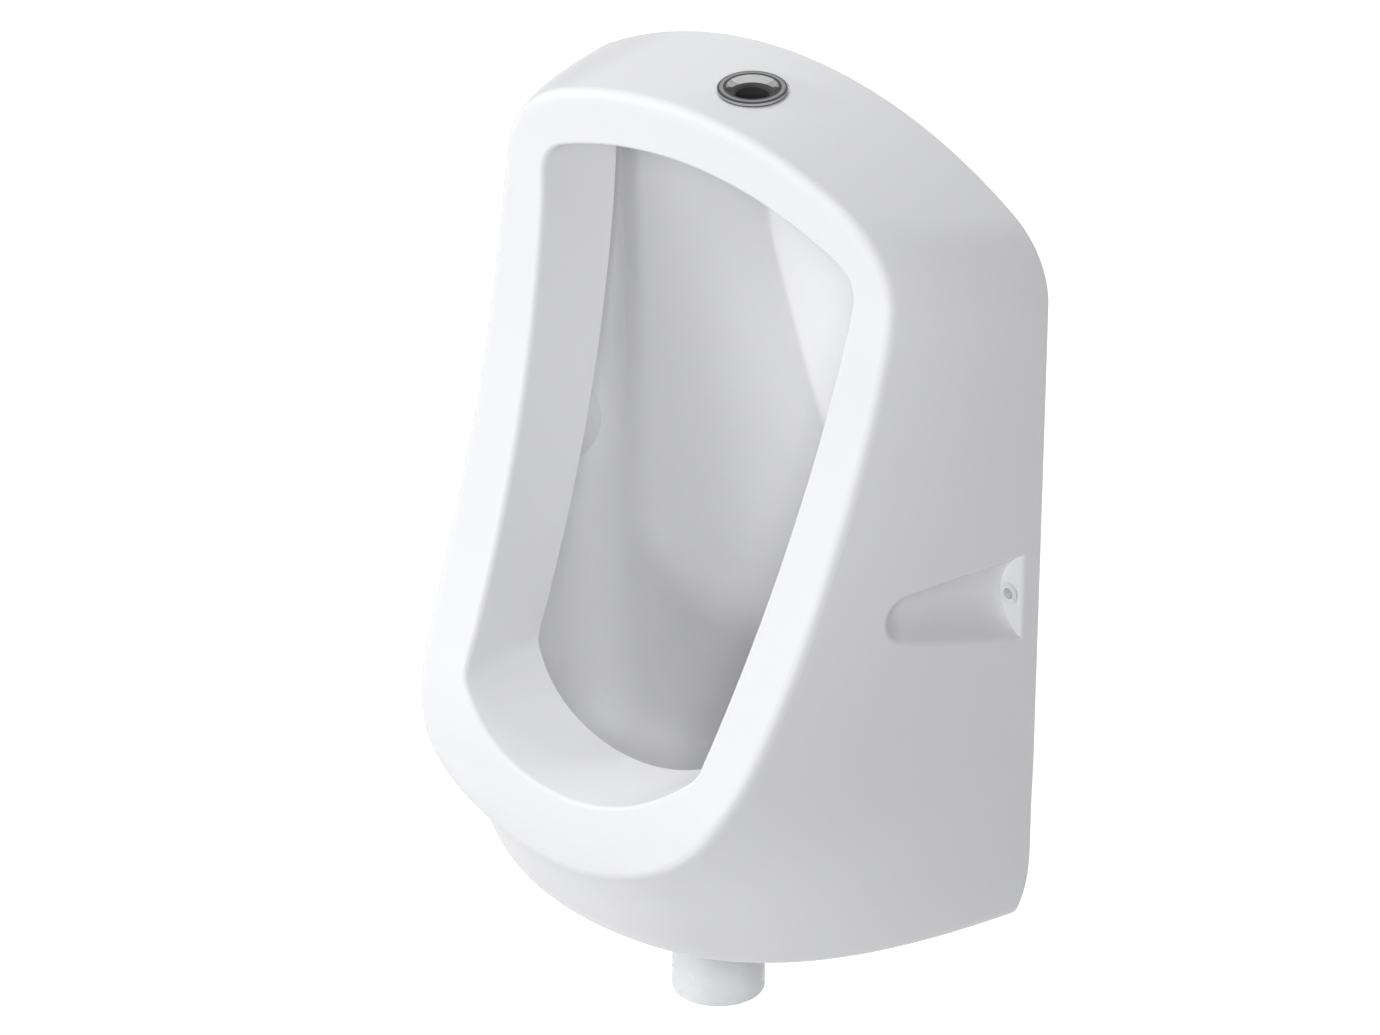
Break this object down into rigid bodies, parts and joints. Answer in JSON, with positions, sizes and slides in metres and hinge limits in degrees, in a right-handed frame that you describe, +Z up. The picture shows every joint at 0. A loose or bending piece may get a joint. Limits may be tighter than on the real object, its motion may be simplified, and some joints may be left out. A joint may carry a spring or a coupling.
{
  "type": "wall-hung urinal",
  "caption": "Wall-hung ceramic urinal with an arched deck, a curved rim round a deep bowl, a top flush inlet, a lift-out waste strainer and a bottom outlet pipe.",
  "frame": {"origin": "on the wall plane, half way between the two fixing holes", "axes": "+Z up, +Y into the wall, so the bowl stands at negative Y; +X to the right seen from the front"},
  "size_m": [0.3418, 0.1997, 0.5328],
  "materials": {
    "glazed_ceramic": "gloss white glaze",
    "chrome": "polished plate on brass",
    "rubber": "moulded black rubber",
    "nylon": "natural nylon",
    "brass": "as turned",
    "steel": "brushed",
    "white_plastic": "smooth white pipe"
  },
  "bodies": {
    "urinal": {"urinal_body": "glazed_ceramic", "inlet_collar": "chrome", "collar_gasket": "rubber", "flush_pipe_seal": "rubber", "deck_gasket": "rubber", "slip_washer": "nylon", "inlet_locknut": "brass", "spreader": "chrome", "spreader_washer": "rubber", "waste_flange": "chrome", "waste_seal": "rubber", "lower_waste_seal": "rubber", "waste_washer": "nylon", "waste_backnut": "brass", "outlet_seal": "rubber", "outlet_pipe": "white_plastic", "fixing_sleeve_left": "nylon", "fixing_sleeve_right": "nylon"},
    "strainer": {"waste_strainer": "steel"}
  },
  "joints": [
    {"name": "strainer_lift", "type": "slide", "parent": "urinal", "child": "strainer", "axis": [0, 0, 1], "range_m": [0, 0.12]}
  ]
}
